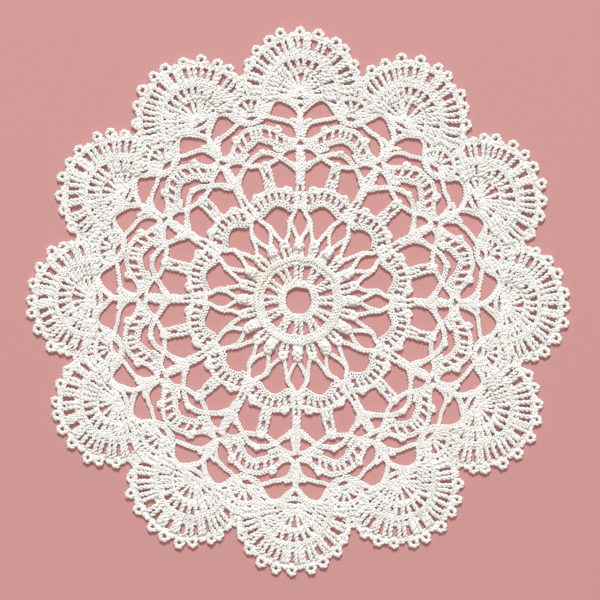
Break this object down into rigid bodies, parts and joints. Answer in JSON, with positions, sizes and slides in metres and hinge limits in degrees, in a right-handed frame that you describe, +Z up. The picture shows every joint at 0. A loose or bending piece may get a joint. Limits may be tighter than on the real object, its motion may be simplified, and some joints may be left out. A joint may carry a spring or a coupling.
{
  "type": "lace doily",
  "caption": "Round crocheted cotton mat with an openwork net, gathered bobbles and a scalloped edge of fans with picots.",
  "frame": {"origin": "middle of the doily's outline, on the surface that it lies on", "axes": "+Z up out of the worked face, +Y towards the fan at twelve o'clock in the picture, +X to the picture's right"},
  "size_m": [0.18, 0.1816, 0.0026],
  "materials": {
    "cotton": "matt off-white crochet cotton with a little fuzz, slightly yellowed in places"
  },
  "bodies": {
    "root": {"doily": "cotton"}
  },
  "joints": []
}
